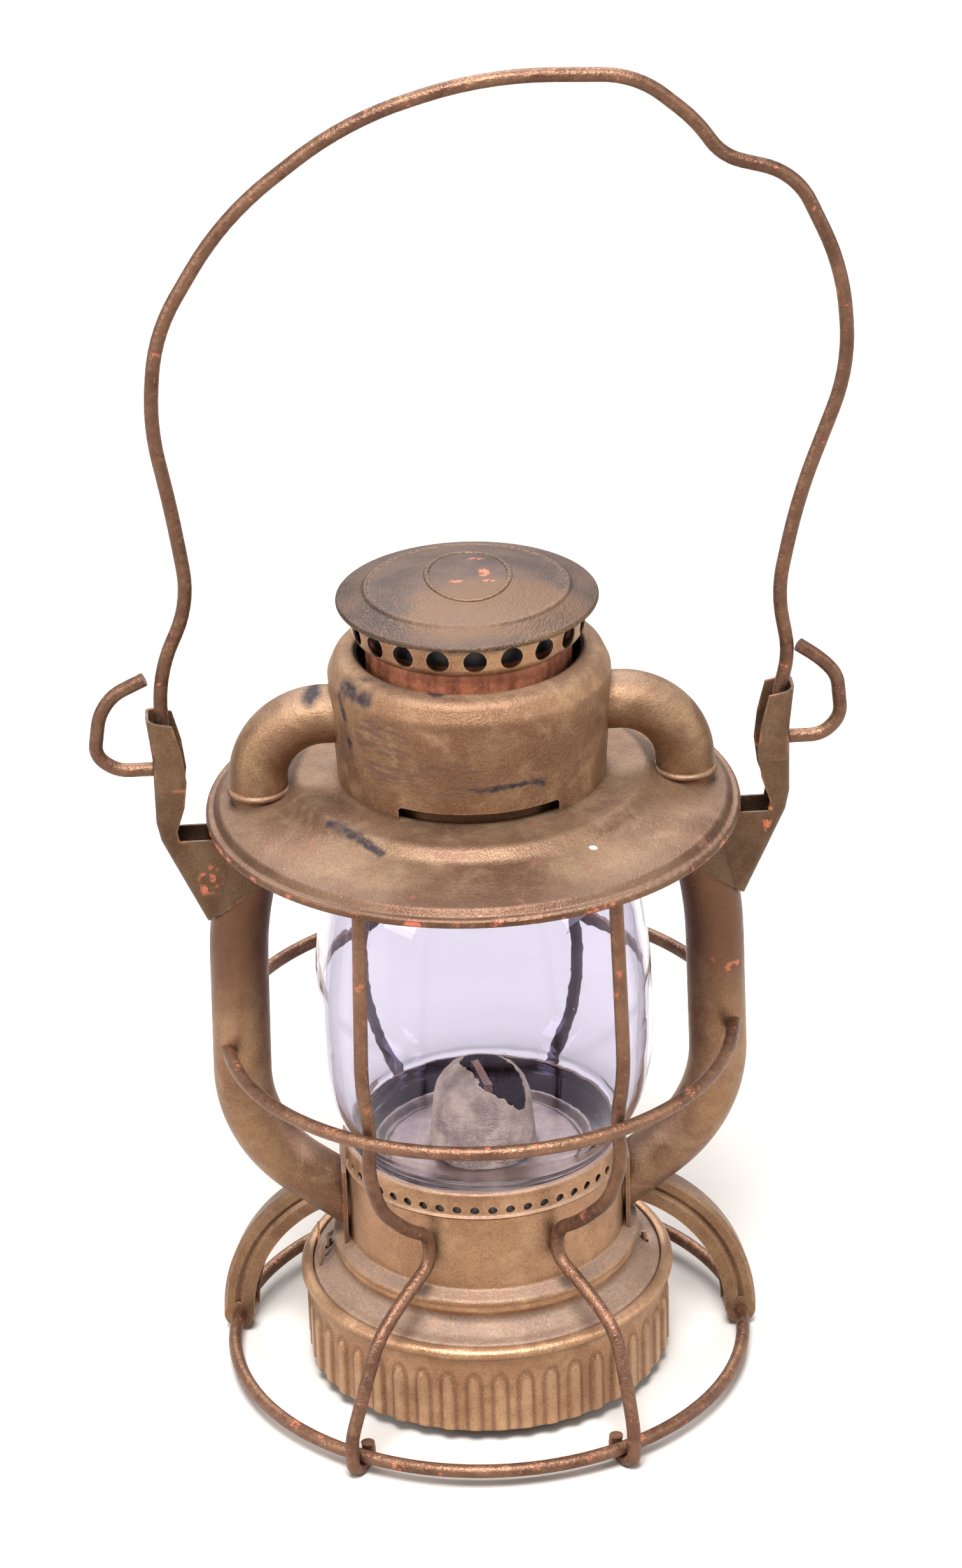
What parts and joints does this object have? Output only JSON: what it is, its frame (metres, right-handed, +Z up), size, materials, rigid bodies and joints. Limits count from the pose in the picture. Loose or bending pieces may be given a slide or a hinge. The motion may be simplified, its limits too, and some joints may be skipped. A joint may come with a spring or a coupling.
{
  "type": "tubular kerosene hand lantern",
  "caption": "Tubular kerosene hand lantern with side air tubes, rain hood, wire-guarded glass globe, lifting chimney, twist-in fount and tall wire bail.",
  "frame": {"origin": "on the floor, under the middle of the wire base ring and of the lantern's box", "axes": "+Z up along the globe's axis; +X from the left ear to the right ear; -Y is the front"},
  "size_m": [0.2275, 0.1648, 0.4198],
  "materials": {
    "bronze_paint": "aged bronze paint, satin",
    "wire_paint": "thin bronze paint worn to red primer",
    "cap_paint": "bronze paint, dusty",
    "rusty_tin": "heat-rusted sheet",
    "burner_metal": "dull, sooty",
    "plain_tin": "dull tin",
    "spring_wire": "rusted spring wire",
    "glass": "clear, faint lavender tint",
    "wick_cotton": "woven cotton, charred top"
  },
  "bodies": {
    "frame": {"base_ring": "wire_paint", "leg_left": "bronze_paint", "leg_right": "bronze_paint", "bell": "bronze_paint", "side_tube_left": "bronze_paint", "side_tube_right": "bronze_paint", "elbow_left": "bronze_paint", "elbow_right": "bronze_paint", "air_drum": "bronze_paint", "hood": "bronze_paint", "ear_left": "bronze_paint", "ear_right": "bronze_paint", "ear_lips_left": "bronze_paint", "ear_lips_right": "bronze_paint", "guard_front": "wire_paint", "guard_back": "wire_paint", "cage_wire_front_left": "wire_paint", "cage_wire_front_right": "wire_paint", "cage_wire_back_left": "wire_paint", "cage_wire_back_right": "wire_paint", "chimney_sleeve": "rusty_tin", "globe_seat": "burner_metal", "catch_spring": "spring_wire", "latch_strip": "spring_wire", "retaining_tabs": "plain_tin", "globe": "glass"},
    "chimney": {"cap": "cap_paint", "vent_band": "cap_paint", "chimney_tube": "rusty_tin", "globe_crown": "plain_tin", "lift_spring": "spring_wire"},
    "fount": {"fount_cup": "bronze_paint", "fount_cover": "plain_tin", "bayonet_lugs": "plain_tin", "filler_cap": "burner_metal", "burner_body": "burner_metal", "burner_deck": "burner_metal", "burner_cone": "burner_metal", "wick_tube": "burner_metal"},
    "wick": {"wick": "wick_cotton"},
    "wick_wheel": {"wick_shaft": "burner_metal", "thumb_wheel": "burner_metal", "spur_wheels": "burner_metal"},
    "bail": {"bail": "wire_paint"}
  },
  "joints": [
    {"name": "bail_swing", "type": "hinge", "parent": "frame", "child": "bail", "pos_m": [0, 0, 0.2085], "axis": [1, 0, 0], "range_deg": [-110, 110], "deforming": ["ear_lips_left", "ear_lips_right"]},
    {"name": "chimney_lift", "type": "slide", "parent": "frame", "child": "chimney", "axis": [0, 0, 1], "range_m": [0, 0.014], "stiffness_N_per_m": 150, "springref_m": -0.03, "deforming": ["lift_spring"]},
    {"name": "fount_twist", "type": "hinge", "parent": "frame", "child": "fount", "pos_m": [0, 0, 0.02], "axis": [0, 0, -1], "range_deg": [0, 20]},
    {"name": "wick_turn", "type": "hinge", "parent": "fount", "child": "wick_wheel", "pos_m": [0.00586, 0.0013, 0.061], "axis": [-0.2164, 0.9763, 0], "range_deg": [-45, 75]},
    {"name": "wick_slide", "type": "slide", "parent": "fount", "child": "wick", "axis": [0, 0, 1], "range_m": [-0.004, 0.0065]}
  ],
  "couplings": [
    {"joint": "wick_slide", "follows": "wick_turn", "m_per_rad": 0.0045}
  ]
}
